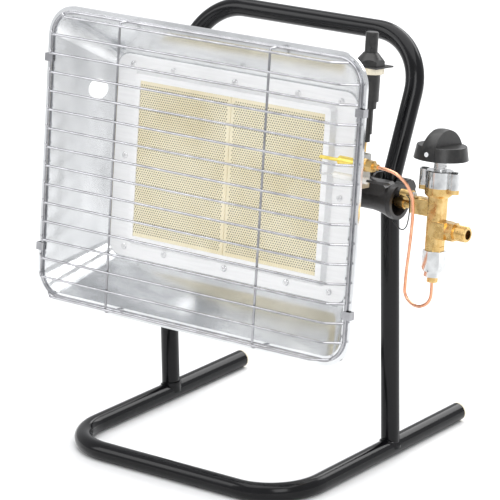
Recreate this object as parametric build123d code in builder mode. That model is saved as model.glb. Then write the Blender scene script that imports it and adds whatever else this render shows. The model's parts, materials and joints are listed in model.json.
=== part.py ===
from build123d import *
from math import atan2, cos, degrees, pi, radians, sin, sqrt, tan
import os

# Portable gas heater: a radiant head with two ceramic plaques that tilts on a bent tube stand.
# Millimetres, +Z up. The stand is drawn on its own mid plane, the head looks along -Y.
os.makedirs("parts", exist_ok=True)

# Stand tubes
tube_dia = 19.0
tube_wall = 1.5
upright_spacing = 286.1
front_reach = 180.1
rear_reach = 122.1
base_corner_radius = 57.0
handle_corner_radius = 58.0
upright_bend_radius = 60.0
bend_height = 286.7
lean_angle = 25.1
handle_height = 423.7
weld_leg = 1.6
cap_flange = 3.0
cap_plug = 14.0
cap_fit = 0.1

# Pivot, clamp knobs and bracket
pivot_height = 283.0
bolt_dia = 7.86
bolt_head_dia = 13.0
bolt_head_height = 4.5
run_fit = 0.07
body_gap = 0.3
washer_dia = 17.0
washer_thickness = 1.5
clamp_knob_dia = 26.0
clamp_knob_width = 12.0
clamp_knob_lobes = 6
clamp_lobe_dia = 5.0
clamp_edge = 1.6
bolt_grip = 9.0
strap_width = 30.0
strap_thickness = 2.5
strap_bend = 5.0
strap_setback = 12.0
strap_jog_inner = 74.0
strap_jog_outer = 104.0
strap_ear_front = 13.0
strap_screw_pitch_x = 110.0
strap_screw_pitch_v = 16.0
strap_screw_dia = 5.0
strap_screw_length = 12.0

# Head: its rim centre, its lean, and the pressed steel sheet
rim_forward = 130.0
rim_height = 296.5
head_tilt = 7.0
sheet = 1.0
rim_width = 394.6
rim_tall = 305.8
rim_corner = 32.0
flange_width = 10.0
rim_lip = 3.2
pan_depth = 56.8
floor_width = 302.0
floor_tall = 210.0
floor_corner = 15.0
side_hole_dia = 21.0
side_hole_v = 66.0
side_hole_n = -40.0

# Ceramic plaques and the frame over them
plaque_width = 120.0
plaque_tall = 165.0
plaque_thick = 13.0
plaque_joint = 0.4
plaque_face = -51.3
frame_width = 300.0
frame_tall = 209.0
frame_corner = 14.0
frame_opening_width = 231.6
frame_opening_tall = 161.0
lip_width = 245.0
lip_tall = 174.0
lip_flare = 3.5
seal_thick = 3.0
seal_width = 5.0
rivet_u = (0.0, 78.0, 130.2)
rivet_v = 94.6
rivet_side_u = 135.2
rivet_dia = 3.2
rivet_head_dia = 6.8
rivet_head_height = 1.7
rivet_tail_dia = 5.0
rivet_tail = 2.0
rivet_mandrel = 1.6

# Burner housing behind the plaques
housing_flange_width = 286.0
housing_flange_tall = 203.0
housing_flange_corner = 14.0
housing_ledge = 8.0
housing_back = -99.0
housing_corner = 12.0
baffle_width = 190.0
baffle_tall = 118.0
baffle_stand = 27.0
baffle_hole_dia = 7.0
baffle_pitch = 15.0

# Guard of bent wire
wire_dia = 2.5
frame_wire_dia = 3.0
frame_wire_inset = 5.8
guard_proud = 17.5
bar_count = 16
bar_margin = 8.9
bar_pitch = (rim_tall - 2 * bar_margin) / (bar_count - 1)
bar_bend = 4.0
bar_return = 45.0
tie_u = 93.0
tie_bend = 3.2
clip_v = 98.0
clip_width = 8.0
clip_sheet = 0.8

# Mixing tube, its arm and the injector
feed_v = 1.0
feed_n = -85.0
throat_dia = 24.0
throat_bore = 18.0
mouth_dia = 35.0
mouth_bore = 27.0
mouth_u = 186.5
flare_u = 158.0
flare_end_u = 181.0
tube_inner_u = 72.0
tube_flange_tall = 46.0
tube_flange_deep = 26.0
tube_flange_thick = 4.0
tube_screw_pitch = 35.0
tube_screw_dia = 4.0
tube_screw_length = 10.0
arm_low = 6.0
arm_high = 19.0
arm_back = -91.0
arm_front = -72.0
arm_end_u = 177.0
arm_chamfer = 4.0
sleeve_dia = 9.0
sleeve_v = 11.5
sleeve_n = -81.0
sleeve_end_u = 191.0
lug_end_u = 204.0
web_length = 9.0
web_tall = 3.8
web_v = 8.2
lug_notch_dia = 8.0
lug_notch = 12.0
lug_screw_dia = 4.0
lug_screw_head = 3.0
lug_screw_grip = 14.0
injector_hex = 10.0
injector_hex_start = 184.0
injector_hex_end = 193.0
injector_neck_dia = 8.6
jet_dia = 5.0
jet_tip_u = 172.0
jet_bore = 1.1
gas_bore = 5.0

# Valve
outlet_face_u = 204.0
valve_reach = 26.5
valve_u = outlet_face_u + valve_reach
column_side = 16.0
column_round = 4.0
column_low = -38.8
collar_low = 14.0
collar_high = 23.3
collar_dia = 27.0
ear_reach = 17.4
ear_dia = 10.0
ear_low = 19.1
outlet_low = -6.0
outlet_high = 10.0
outlet_deep = 15.0
inlet_v = -17.4
inlet_pad_reach = 14.9
inlet_pad_end = valve_u + inlet_pad_reach
inlet_pad_tall = 17.0
inlet_pad_deep = 17.4
inlet_hex = 17.0
inlet_hex_long = 8.2
inlet_hex_end = inlet_pad_end + inlet_hex_long
inlet_neck_dia = 13.0
inlet_neck_long = 2.4
inlet_neck_end = inlet_hex_end + inlet_neck_long
inlet_thread_dia = 15.2
inlet_thread_long = 11.5
inlet_end = inlet_neck_end + inlet_thread_long
inlet_bore = 9.4
inlet_chamfer = 0.9
plug_dia = 11.86
plug_low = -7.7
plug_high = 16.0
plug_port = 5.0
low_port = 1.4
slot_width = 3.2
slot_depth = 8.0
pin_dia = 3.0
pin_low = -24.4
passage_dia = 7.0
magnet_room_top = -28.5
spigot_dia = 15.0
spigot_low = -46.0
bonnet_high = 40.0
bonnet_edge = 0.8
spring_room_dia = 19.0
spring_room_top = 36.0
stem_dia = 12.6
shoulder_dia = 17.6
shoulder_height = 4.7
tang_drop = 10.8
tang_width = 3.0
stem_top = 66.0
stem_hole_dia = 1.6
stem_hole_v = 44.5
bonnet_screw_dia = 4.0
bonnet_screw_head = 7.0
bonnet_recess_dia = 7.8
bonnet_recess = 6.0
knob_low = 51.3
knob_low_dia = 53.4
knob_cup_dia = 48.6
knob_cup = 13.3
knob_dome_radius = 26.5
knob_dome_centre = 2.5
knob_grip = 17.0
knob_grip_draft = 5.0
knob_wall = 3.0
knob_hub_dia = 18.0
knob_edge = 1.0
knob_dot_dia = 4.6
knob_dot_v = 57.7
knob_dot_proud = 0.4
magnet_nut_hex = 20.0
magnet_nut_low = -58.9
magnet_tail_hex = 15.2
magnet_tail_low = -64.7
magnet_dia = 13.0
magnet_low = -54.0
magnet_stud_dia = 8.0
cap_nut_hex = 9.3
cap_nut_low = -70.2

# Thermocouple, electrode and their bracket
probe_n = -30.0
probe_v = 43.0
probe_tip_u = 127.0
probe_body_u = 149.5
probe_hex_u = 170.8
bracket_u = 176.0
bracket_sheet = 1.5
probe_rod_dia = 3.6
probe_body_dia = 9.4
probe_hex = 13.0
probe_hole_dia = 16.6
electrode_hole_dia = 9.8
probe_thread_dia = 7.8
lock_nut_hex = 11.0
lock_nut_end = 183.5
probe_nut_hex = 10.4
probe_nut_end = 191.0
ferrule_dia = 6.0
ferrule_end = 196.0
electrode_v = 28.0
electrode_front = 145.0
electrode_back = 184.0
electrode_dia = 6.6
electrode_collar_dia = 9.0
wire_probe_dia = 1.8
bracket_back = -44.0
bracket_front = -21.5
bracket_margin = 9.0

# Copper lead and cables
copper_dia = 3.2
copper_loop = 31.0
lead_dia = 2.4
earth_dia = 1.2

# Igniter
igniter_u = 151.0
igniter_n = -70.0
plate_low = 130.3
plate_thick = 1.5
plate_right = 166.0
plate_back = -88.0
tab_left = 120.0
tab_right = 138.0
tab_low = 88.0
neck_dia = 21.6
body_dia = 21.2
collar_hex = 24.4
collar_band = 4.4
collar_rise = 12.6
collar_top_dia = 14.4
igniter_nut_dia = 28.0
igniter_nut_thick = 6.0
button_dia = 12.6
button_top = 164.6
button_edge = 1.2
button_low = 131.8
igniter_bore_low = 112.0
step_levels = (97.0, 90.0, 65.0, 57.0)
step_dias = (17.6, 12.4, 9.8)
terminal_dia = 3.8
terminal_low = 47.0

# Frames of reference
tilt = radians(head_tilt)
across_dir = Vector(1, 0, 0)
rise_dir = Vector(0, sin(tilt), cos(tilt))
out_dir = Vector(0, -cos(tilt), sin(tilt))
half_spacing = upright_spacing / 2
tube_radius = tube_dia / 2
lean = radians(lean_angle)
handle_back = (handle_height - bend_height) * tan(lean)
drop = pivot_height - rim_height
pivot_v = rim_forward * sin(tilt) + drop * cos(tilt)
pivot_n = -rim_forward * cos(tilt) + drop * sin(tilt)
pieces = []


def head_point(u, v, n):
    # u runs across the head, v up its face and n out of its front.
    return Vector(0, -rim_forward, rim_height) + across_dir * u + rise_dir * v + out_dir * n


def facing(n, u=0.0, v=0.0):
    return Plane(origin=head_point(u, v, n), x_dir=across_dir, z_dir=out_dir)


def rising(v, u=0.0, n=0.0):
    # On this plane y points to the back of the head.
    return Plane(origin=head_point(u, v, n), x_dir=across_dir, z_dir=rise_dir)


def crossing(u, v=0.0, n=0.0):
    # On this plane x is the head's v and y its n.
    return Plane(origin=head_point(u, v, n), x_dir=rise_dir, z_dir=across_dir)


def keep(builder, name):
    builder.part.label = name
    pieces.append(builder)


def at_level(shapes, way, level):
    # The faces or edges whose centres lie at one level along a direction of the head.
    centre = head_point(0, 0, 0)
    return shapes.filter_by(lambda s: abs((s.center() - centre).dot(way) - level) < 0.02)


def side_plane(x, height=0.0, back=0.0):
    # Looks along +X from the stand, with x to the back and y up.
    return Plane(origin=(x, back, height), x_dir=(0, 1, 0), z_dir=(1, 0, 0))


def rod(plane, diameter, length, bore=0.0):
    # A round bar or sleeve standing on a plane.
    with BuildPart(mode=Mode.PRIVATE) as made:
        with BuildSketch(plane):
            Circle(diameter / 2)
            if bore > 0:
                Circle(bore / 2, mode=Mode.SUBTRACT)
        extrude(amount=length)
    return made.part


def hex_bar(plane, across_flats, length, bore=0.0, turn=0.0, edge=0.0):
    with BuildPart(mode=Mode.PRIVATE) as made:
        with BuildSketch(plane):
            RegularPolygon(across_flats / 2, 6, major_radius=False, rotation=turn)
        extrude(amount=length)
        if edge > 0:
            with BuildSketch(plane):
                Circle(across_flats / sqrt(3) - edge)
            extrude(amount=length, taper=-30, mode=Mode.INTERSECT)
        if bore > 0:
            with BuildSketch(plane):
                Circle(bore / 2)
            extrude(amount=length, mode=Mode.SUBTRACT)
    return made.part


# Base tube: one bent tube that lies on the floor, open to the back.
with BuildPart() as base_tube:
    with BuildLine() as base_path:
        FilletPolyline(
            (-half_spacing, rear_reach, tube_radius),
            (-half_spacing, -front_reach, tube_radius),
            (half_spacing, -front_reach, tube_radius),
            (half_spacing, rear_reach, tube_radius),
            radius=base_corner_radius,
        )
    with BuildSketch(Plane(origin=(-half_spacing, rear_reach, tube_radius), z_dir=(0, -1, 0))):
        Circle(tube_radius)
        Circle(tube_radius - tube_wall, mode=Mode.SUBTRACT)
    sweep(path=base_path.wires()[0])
keep(base_tube, "base_tube")

# Handle arch: both uprights and the carrying handle in one tube, coped onto the base.
with BuildPart() as arch_tube:
    with BuildLine() as arch_path:
        FilletPolyline(
            (-half_spacing, 0, tube_radius),
            (-half_spacing, 0, bend_height),
            (-half_spacing, handle_back, handle_height),
            (half_spacing, handle_back, handle_height),
            (half_spacing, 0, bend_height),
            (half_spacing, 0, tube_radius),
            radius=[
                upright_bend_radius,
                handle_corner_radius,
                handle_corner_radius,
                upright_bend_radius,
            ],
        )
    with BuildSketch(Plane.XY.offset(tube_radius)):
        with Locations((-half_spacing, 0)):
            Circle(tube_radius)
            Circle(tube_radius - tube_wall, mode=Mode.SUBTRACT)
    sweep(path=arch_path.wires()[0])
    for side in (-1, 1):
        with BuildSketch(Plane(origin=(side * half_spacing, -tube_dia, tube_radius), z_dir=(0, 1, 0))):
            Circle(tube_radius)
        extrude(amount=2 * tube_dia, mode=Mode.SUBTRACT)
        with BuildSketch(side_plane(side * half_spacing - tube_dia, pivot_height)):
            Circle(bolt_dia / 2 + run_fit)
        extrude(amount=2 * tube_dia, mode=Mode.SUBTRACT)
keep(arch_tube, "arch_tube")

# Weld beads: the fillet of metal where each upright stands on its leg.
with BuildPart() as weld_beads:
    for side in (-1, 1):
        with BuildSketch(Plane.XY.offset(tube_radius)):
            with Locations((side * half_spacing, 0)):
                Circle(tube_radius + weld_leg)
        extrude(amount=tube_radius + weld_leg)
    for side in (-1, 1):
        leg_plane = Plane(origin=(side * half_spacing, -tube_dia, tube_radius), z_dir=(0, 1, 0))
        upright_plane = Plane(origin=(side * half_spacing, 0, 0))
        add(rod(leg_plane, tube_dia, 2 * tube_dia), mode=Mode.SUBTRACT)
        add(rod(upright_plane, tube_dia, 2 * tube_dia), mode=Mode.SUBTRACT)
        with BuildSketch(leg_plane):
            Circle(tube_dia)
            Circle(tube_radius + weld_leg, mode=Mode.SUBTRACT)
        extrude(amount=2 * tube_dia, mode=Mode.SUBTRACT)
keep(weld_beads, "weld_beads")

# End caps: plugs pressed into the open ends of the two legs.
with BuildPart() as end_caps:
    with BuildSketch(Plane(origin=(0, rear_reach, tube_radius), x_dir=(1, 0, 0), z_dir=(0, 1, 0))):
        with GridLocations(upright_spacing, 0, 2, 1):
            Circle(tube_radius)
    extrude(amount=cap_flange)
    fillet(end_caps.faces().sort_by(Axis.Y)[-2:].edges(), cap_flange / 2)
    with BuildSketch(Plane(origin=(0, rear_reach, tube_radius), x_dir=(1, 0, 0), z_dir=(0, 1, 0))):
        with GridLocations(upright_spacing, 0, 2, 1):
            Circle(tube_radius - tube_wall - cap_fit)
    extrude(amount=-cap_plug)
keep(end_caps, "end_caps")

# Bracket: a flat strap jogged back to the uprights, with an ear at each end for the pivot bolt.
upright_inside = half_spacing - tube_radius
ear_outside = upright_inside - body_gap - washer_thickness
ear_line = ear_outside - strap_thickness / 2
strap_rest_n = housing_back - strap_thickness / 2
strap_far_n = pivot_n - strap_setback
with BuildPart() as head_bracket:
    with BuildSketch(rising(pivot_v - strap_width / 2)):
        with BuildLine():
            FilletPolyline(
                (-ear_line, -(pivot_n + strap_ear_front)),
                (-ear_line, -strap_far_n),
                (-strap_jog_outer, -strap_far_n),
                (-strap_jog_inner, -strap_rest_n),
                (strap_jog_inner, -strap_rest_n),
                (strap_jog_outer, -strap_far_n),
                (ear_line, -strap_far_n),
                (ear_line, -(pivot_n + strap_ear_front)),
                radius=strap_bend,
            )
        trace(line_width=strap_thickness)
    extrude(amount=strap_width)
    with BuildSketch(crossing(-half_spacing, pivot_v, pivot_n)):
        Circle(bolt_dia / 2 + run_fit)
    extrude(amount=upright_spacing, mode=Mode.SUBTRACT)
    with BuildSketch(facing(housing_back, 0, pivot_v)):
        with GridLocations(strap_screw_pitch_x, strap_screw_pitch_v, 2, 2):
            Circle(strap_screw_dia / 2 + run_fit)
    extrude(amount=-2 * strap_thickness, mode=Mode.SUBTRACT)
    ear_edges = head_bracket.edges().filter_by(Axis.X).filter_by(
        lambda e: abs(abs(e.center().X) - ear_line) < 0.1
    )
    fillet(ear_edges, strap_width / 4)
keep(head_bracket, "head_bracket")

# Pivot bolts: round headed bolts from each ear out through its upright.
with BuildPart() as pivot_bolts:
    for side in (-1, 1):
        start = side_plane(side * (ear_outside - strap_thickness), pivot_height)
        knob_face = half_spacing + tube_radius + body_gap + washer_thickness
        bolt_length = knob_face + bolt_grip - ear_outside + strap_thickness
        with BuildSketch(start):
            Circle(bolt_dia / 2)
        extrude(amount=side * bolt_length)
        with BuildSketch(start):
            Circle(bolt_head_dia / 2)
        extrude(amount=-side * bolt_head_height)
    chamfer(
        pivot_bolts.edges().filter_by(GeomType.CIRCLE).filter_by(
            lambda e: e.radius > bolt_dia / 2 + 1 and abs(e.center().X) < ear_outside - 3
        ),
        1.0,
    )
keep(pivot_bolts, "pivot_bolts")

# Washers: one each side of each upright, with the bolt through them.
with BuildPart() as pivot_washers:
    for side in (-1, 1):
        for face in (ear_outside, knob_face - washer_thickness):
            with BuildSketch(side_plane(side * face, pivot_height)):
                Circle(washer_dia / 2)
                Circle(bolt_dia / 2 + run_fit, mode=Mode.SUBTRACT)
            extrude(amount=side * washer_thickness)
keep(pivot_washers, "pivot_washers")


def clamp_knob(side, name):
    # A lobed knob that screws onto the bolt and pinches the upright.
    with BuildPart() as knob:
        with BuildSketch(side_plane(side * (knob_face + run_fit), pivot_height)):
            Circle(clamp_knob_dia / 2)
            with PolarLocations(clamp_knob_dia / 2 + clamp_lobe_dia * 0.24, clamp_knob_lobes):
                Circle(clamp_lobe_dia / 2, mode=Mode.SUBTRACT)
        extrude(amount=side * clamp_knob_width)
        outer = knob.faces().filter_by(Axis.X).sort_by(Axis.X)[-1 if side > 0 else 0]
        fillet(outer.edges(), clamp_edge)
        with BuildSketch(side_plane(side * (knob_face + run_fit), pivot_height)):
            Circle(bolt_dia / 2 + run_fit)
        extrude(amount=side * (bolt_grip + body_gap), mode=Mode.SUBTRACT)
    keep(knob, name)
    return knob


tilt_knob_left = clamp_knob(-1, "tilt_knob_left")
tilt_knob_right = clamp_knob(1, "tilt_knob_right")

# Reflector: a pressed pan with a flat rim turned back at its edge.
mouth_width = rim_width - 2 * flange_width
mouth_tall = rim_tall - 2 * flange_width
mouth_corner = rim_corner - flange_width
plaque_gap = 1.0
opening_width = 2 * plaque_width + plaque_joint + 2 * plaque_gap
opening_tall = plaque_tall + 2 * plaque_gap
wall_run = (mouth_width - floor_width) / 2
wall_angle = atan2(wall_run, pan_depth)


def wall_u(n):
    # Where the inside of the pan's side wall lies at a depth n.
    return mouth_width / 2 + wall_run * n / pan_depth


rivet_places = [(s * u, t * rivet_v) for u in rivet_u for s in (-1, 1) for t in (-1, 1)]
rivet_places = sorted(set(rivet_places)) + [(-rivet_side_u, 0.0), (rivet_side_u, 0.0)]

with BuildPart(mode=Mode.PRIVATE) as pan_outside:
    with BuildSketch(facing(0)):
        RectangleRounded(mouth_width + 2 * sheet, mouth_tall + 2 * sheet, mouth_corner + sheet)
    with BuildSketch(facing(-pan_depth - sheet)):
        RectangleRounded(floor_width + 2 * sheet, floor_tall + 2 * sheet, floor_corner + sheet)
    loft()

with BuildPart() as reflector:
    add(pan_outside.part)
    with BuildSketch(facing(-sheet)):
        RectangleRounded(rim_width, rim_tall, rim_corner)
    extrude(amount=sheet)
    with BuildSketch(facing(-rim_lip)):
        RectangleRounded(rim_width, rim_tall, rim_corner)
        RectangleRounded(rim_width - 2 * sheet, rim_tall - 2 * sheet, rim_corner - sheet, mode=Mode.SUBTRACT)
    extrude(amount=rim_lip)
    with BuildSketch(facing(0)):
        RectangleRounded(mouth_width, mouth_tall, mouth_corner)
    with BuildSketch(facing(-pan_depth)):
        RectangleRounded(floor_width, floor_tall, floor_corner)
    loft(mode=Mode.SUBTRACT)
    with BuildSketch(facing(-pan_depth - 2 * sheet)):
        Rectangle(opening_width, opening_tall)
    extrude(amount=4 * sheet, mode=Mode.SUBTRACT)
    wall_normal = across_dir * -cos(wall_angle) - out_dir * sin(wall_angle)
    hole_centre = head_point(-wall_u(side_hole_n), side_hole_v, side_hole_n)
    with BuildSketch(Plane(origin=hole_centre, x_dir=rise_dir, z_dir=wall_normal)):
        Circle(side_hole_dia / 2)
    extrude(amount=6 * sheet, both=True, mode=Mode.SUBTRACT)
    for v, dia in ((probe_v, probe_hole_dia), (electrode_v, electrode_hole_dia)):
        with BuildSketch(crossing(wall_u(probe_n) - 14, v, probe_n)):
            Circle(dia / 2)
        extrude(amount=28, mode=Mode.SUBTRACT)
    with BuildSketch(facing(-pan_depth - 2 * sheet)):
        with Locations(*rivet_places):
            Circle(rivet_dia / 2 + run_fit)
    extrude(amount=4 * sheet, mode=Mode.SUBTRACT)
keep(reflector, "reflector")

# Burner frame: the plate in the pan, pressed up round the plaques and holding them by a lip.
foot_width = lip_width + 2 * lip_flare
foot_tall = lip_tall + 2 * lip_flare
plate_face = sheet - pan_depth
with BuildPart() as burner_frame:
    with BuildSketch(facing(-pan_depth)):
        RectangleRounded(frame_width, frame_tall, frame_corner)
    extrude(amount=sheet)
    with BuildSketch(facing(plate_face)):
        RectangleRounded(foot_width, foot_tall, 6)
    with BuildSketch(facing(plaque_face + sheet)):
        RectangleRounded(lip_width, lip_tall, 4)
    loft()
    with BuildSketch(facing(-pan_depth)):
        RectangleRounded(foot_width - 2 * sheet, foot_tall - 2 * sheet, 5)
    with BuildSketch(facing(plaque_face)):
        RectangleRounded(lip_width - 2 * sheet, lip_tall - 2 * sheet, 3)
    loft(mode=Mode.SUBTRACT)
    with BuildSketch(facing(-pan_depth)):
        Rectangle(frame_opening_width, frame_opening_tall)
    extrude(amount=pan_depth, mode=Mode.SUBTRACT)
    with BuildSketch(facing(-pan_depth - sheet)):
        with Locations(*rivet_places):
            Circle(rivet_dia / 2 + run_fit)
    extrude(amount=3 * sheet, mode=Mode.SUBTRACT)
keep(burner_frame, "burner_frame")


def plaque(side, name):
    # One ceramic tile with its edges eased.
    with BuildPart() as tile:
        with BuildSketch(facing(plaque_face, side * (plaque_width + plaque_joint) / 2)):
            Rectangle(plaque_width, plaque_tall)
        extrude(amount=-plaque_thick)
        chamfer(at_level(tile.faces(), out_dir, plaque_face)[0].edges(), 0.6)
    keep(tile, name)
    return tile


ceramic_plaque_left = plaque(-1, "ceramic_plaque_left")
ceramic_plaque_right = plaque(1, "ceramic_plaque_right")

# Seal: a fibre gasket between the plaques and the ledge of the housing.
seal_face = plaque_face - plaque_thick
with BuildPart() as plaque_seal:
    with BuildSketch(facing(seal_face)):
        Rectangle(2 * plaque_width + plaque_joint, plaque_tall)
        for side in (-1, 1):
            with Locations((side * (plaque_width + plaque_joint) / 2, 0)):
                Rectangle(plaque_width - 2 * seal_width, plaque_tall - 2 * seal_width, mode=Mode.SUBTRACT)
    extrude(amount=-seal_thick)
keep(plaque_seal, "plaque_seal")

# Burner housing: a stepped pan that carries the plaques and holds the gas and air.
housing_face = -pan_depth - sheet
ledge_face = seal_face - seal_thick
chamber_width = opening_width - 2 * housing_ledge
chamber_tall = opening_tall - 2 * housing_ledge
with BuildPart() as burner_housing:
    with BuildSketch(facing(housing_face)):
        RectangleRounded(housing_flange_width, housing_flange_tall, housing_flange_corner)
    extrude(amount=-sheet)
    with BuildSketch(facing(housing_face)):
        RectangleRounded(opening_width + 2 * sheet, opening_tall + 2 * sheet, 2)
    extrude(amount=ledge_face - sheet - housing_face)
    with BuildSketch(facing(ledge_face)):
        RectangleRounded(chamber_width + 2 * sheet, chamber_tall + 2 * sheet, housing_corner + sheet)
    extrude(amount=housing_back - ledge_face)
    with BuildSketch(facing(housing_face + sheet)):
        Rectangle(opening_width, opening_tall)
    extrude(amount=ledge_face - housing_face - sheet, mode=Mode.SUBTRACT)
    with BuildSketch(facing(ledge_face + sheet)):
        RectangleRounded(chamber_width, chamber_tall, housing_corner)
    extrude(amount=housing_back - ledge_face, mode=Mode.SUBTRACT)
    with BuildSketch(facing(housing_back, 0, pivot_v)):
        with GridLocations(strap_screw_pitch_x, strap_screw_pitch_v, 2, 2):
            Circle(strap_screw_dia / 2 + run_fit)
    extrude(amount=3 * sheet, mode=Mode.SUBTRACT)
    with BuildSketch(crossing(chamber_width / 2 - sheet, feed_v, feed_n)):
        Circle(throat_dia / 2 + run_fit)
        with GridLocations(tube_screw_pitch, 0, 2, 1):
            Circle(tube_screw_dia / 2 + run_fit)
    extrude(amount=4 * sheet, mode=Mode.SUBTRACT)
    with BuildSketch(facing(housing_face - 2 * sheet)):
        with Locations(*rivet_places):
            Circle(rivet_dia / 2 + run_fit)
    extrude(amount=3 * sheet, mode=Mode.SUBTRACT)
keep(burner_housing, "burner_housing")

# Rivets: twelve blind rivets through frame, pan and housing flange.
with BuildPart() as frame_rivets:
    with BuildSketch(facing(plate_face)):
        with Locations(*rivet_places):
            Circle(rivet_head_dia / 2)
    extrude(amount=rivet_head_height)
    fillet(
        at_level(frame_rivets.faces(), out_dir, plate_face + rivet_head_height).edges(),
        rivet_head_height * 0.8,
    )
    for place in rivet_places:
        holds_tab = place == (rivet_u[-1], rivet_v)
        grip = 3 * sheet + (plate_thick if holds_tab else 0.0)
        add(rod(facing(plate_face, *place), rivet_dia, -grip))
        add(rod(facing(plate_face - grip, *place), rivet_tail_dia, -rivet_tail))
    with BuildSketch(facing(plate_face + rivet_head_height)):
        with Locations(*rivet_places):
            Circle(rivet_mandrel / 2)
    extrude(amount=-1.2, mode=Mode.SUBTRACT)
keep(frame_rivets, "frame_rivets")

# Baffle: a perforated plate on two folded feet that spreads the mixture behind the plaques.
with BuildPart() as gas_baffle:
    baffle_face = housing_back + sheet + baffle_stand
    with BuildSketch(facing(baffle_face)):
        Rectangle(baffle_width, baffle_tall)
    extrude(amount=-sheet)
    for side in (-1, 1):
        with BuildSketch(facing(housing_back + sheet, 0, side * (baffle_tall - sheet) / 2)):
            Rectangle(baffle_width, sheet)
        extrude(amount=baffle_stand)
    with BuildSketch(facing(baffle_face)):
        hole_columns = int((baffle_width - 2 * baffle_pitch) / baffle_pitch)
        hole_rows = int((baffle_tall - 2 * baffle_pitch) / baffle_pitch)
        with GridLocations(baffle_pitch, baffle_pitch, hole_columns, hole_rows):
            Circle(baffle_hole_dia / 2)
    extrude(amount=-2 * sheet, mode=Mode.SUBTRACT)
keep(gas_baffle, "gas_baffle")

# Bracket screws and the nuts inside the housing that take them.
with BuildPart() as bracket_screws:
    strap_back = facing(housing_back - strap_thickness, 0, pivot_v)
    with BuildSketch(strap_back):
        with GridLocations(strap_screw_pitch_x, strap_screw_pitch_v, 2, 2):
            Circle(strap_screw_dia / 2)
    extrude(amount=strap_screw_length)
    with BuildSketch(strap_back):
        with GridLocations(strap_screw_pitch_x, strap_screw_pitch_v, 2, 2):
            Circle(strap_screw_dia * 0.9)
    extrude(amount=-strap_screw_dia * 0.6)
keep(bracket_screws, "bracket_screws")

with BuildPart() as bracket_nuts:
    with BuildSketch(facing(housing_back + sheet, 0, pivot_v)):
        with GridLocations(strap_screw_pitch_x, strap_screw_pitch_v, 2, 2):
            RegularPolygon(strap_screw_dia * 0.8, 6, major_radius=False)
            Circle(strap_screw_dia / 2 + run_fit, mode=Mode.SUBTRACT)
    extrude(amount=strap_screw_dia * 0.8)
keep(bracket_nuts, "bracket_nuts")

# Guard: a frame wire on the rim, sixteen bars over the mouth and two ties behind them.
wire_width = rim_width - 2 * frame_wire_inset
wire_tall = rim_tall - 2 * frame_wire_inset
wire_corner = rim_corner - frame_wire_inset
wire_n = frame_wire_dia / 2
with BuildPart() as guard_frame:
    with BuildLine() as wire_outline:
        FilletPolyline(
            head_point(wire_width / 2, wire_tall / 2, wire_n),
            head_point(wire_width / 2, -wire_tall / 2, wire_n),
            head_point(-wire_width / 2, -wire_tall / 2, wire_n),
            head_point(-wire_width / 2, wire_tall / 2, wire_n),
            radius=wire_corner,
            close=True,
        )
    wire_way = wire_outline.wires()[0]
    with BuildSketch(Plane(origin=wire_way @ 0, z_dir=wire_way % 0)):
        Circle(frame_wire_dia / 2)
    sweep(path=wire_way)
keep(guard_frame, "guard_frame")

bar_end_n = frame_wire_dia
bar_line_n = guard_proud


def wire_reach(v):
    # How far out the frame wire lies at a height v, round its corners.
    past = abs(v) - (wire_tall / 2 - wire_corner)
    if past <= 0:
        return wire_width / 2
    return wire_width / 2 - wire_corner + sqrt(max(wire_corner**2 - past**2, 0))


with BuildPart() as guard_bars:
    for index in range(bar_count):
        v = (index - (bar_count - 1) / 2) * bar_pitch
        reach = wire_reach(v)
        low_n = bar_end_n + wire_dia / 2
        knee = reach - (bar_line_n - low_n) / tan(radians(bar_return))
        with BuildLine() as bar_path:
            FilletPolyline(
                head_point(-reach, v, low_n),
                head_point(-knee, v, bar_line_n),
                head_point(knee, v, bar_line_n),
                head_point(reach, v, low_n),
                radius=bar_bend,
            )
        bar_start = bar_path.wires()[0] @ 0
        bar_way = bar_path.wires()[0] % 0
        with BuildSketch(Plane(origin=bar_start, z_dir=bar_way)):
            Circle(wire_dia / 2)
        sweep(path=bar_path.wires()[0])
keep(guard_bars, "guard_bars")

tie_line_n = guard_proud - wire_dia
tie_reach = wire_tall / 2
with BuildPart() as guard_ties:
    for side in (-1, 1):
        with BuildLine() as tie_path:
            FilletPolyline(
                head_point(side * tie_u, -tie_reach, low_n),
                head_point(side * tie_u, -tie_reach, tie_line_n),
                head_point(side * tie_u, tie_reach, tie_line_n),
                head_point(side * tie_u, tie_reach, low_n),
                radius=tie_bend,
            )
        with BuildSketch(facing(low_n, side * tie_u, -tie_reach)):
            Circle(wire_dia / 2)
        sweep(path=tie_path.wires()[0])
keep(guard_ties, "guard_ties")

# Clips: four tabs folded round the edge of the rim and over the frame wire.
clip_out = rim_width / 2 + clip_sheet
clip_in = rim_width / 2 - frame_wire_inset - frame_wire_dia
with BuildPart() as guard_clips:
    for side in (-1, 1):
        for v in (-clip_v, clip_v):
            with BuildSketch(rising(v - clip_width / 2)):
                with Locations((side * (clip_out + clip_in) / 2, -(frame_wire_dia - rim_lip) / 2)):
                    Rectangle(clip_out - clip_in, frame_wire_dia + rim_lip + 2 * clip_sheet)
            extrude(amount=clip_width)
    with BuildSketch(facing(-rim_lip)):
        RectangleRounded(rim_width, rim_tall, rim_corner)
    extrude(amount=rim_lip + frame_wire_dia, mode=Mode.SUBTRACT)
    with BuildSketch(facing(-rim_lip - 2 * clip_sheet)):
        Rectangle(2 * (rim_width / 2 - frame_wire_inset), rim_tall)
    extrude(amount=2 * clip_sheet, mode=Mode.SUBTRACT)
keep(guard_clips, "guard_clips")

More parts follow.
